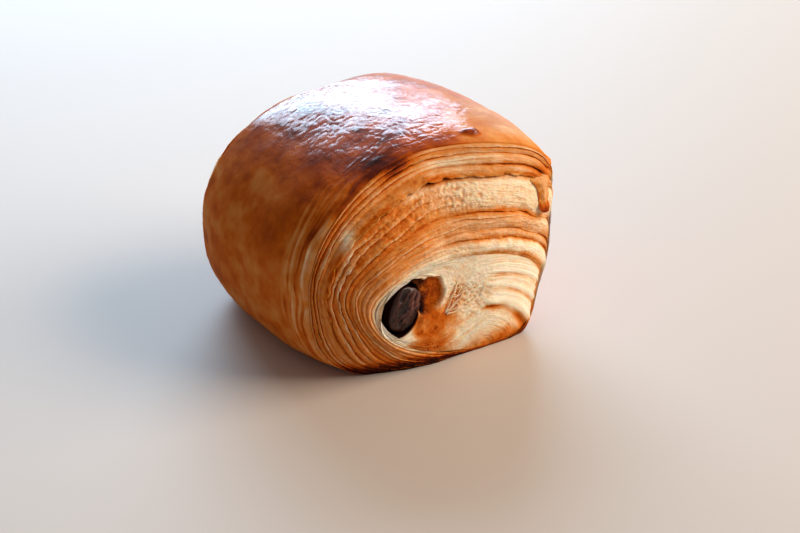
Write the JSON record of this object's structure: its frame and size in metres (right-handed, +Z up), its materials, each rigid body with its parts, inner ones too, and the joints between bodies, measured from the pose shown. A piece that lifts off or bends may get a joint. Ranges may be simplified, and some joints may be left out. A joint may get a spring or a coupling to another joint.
{
  "type": "pain au chocolat",
  "caption": "Rolled laminated pastry, baked golden with a glossy dark top, open at its cut ends over a bar of dark chocolate.",
  "frame": {"origin": "middle of the flat that the roll stands on", "axes": "+X across the roll, +Y along it away from the cut end that faces -Y, +Z up"},
  "size_m": [0.087, 0.0814, 0.0621],
  "materials": {
    "crust": "egg-glazed baked dough: glossy dark brown on top, satin golden brown down the sides",
    "crumb": "dry flaky layers, pale cream inside the folds and amber on the baked edges",
    "chocolate": "baked dark chocolate, satin gloss"
  },
  "bodies": {
    "root": {"pastry": "crust", "chocolate_bar": "chocolate"}
  },
  "joints": []
}
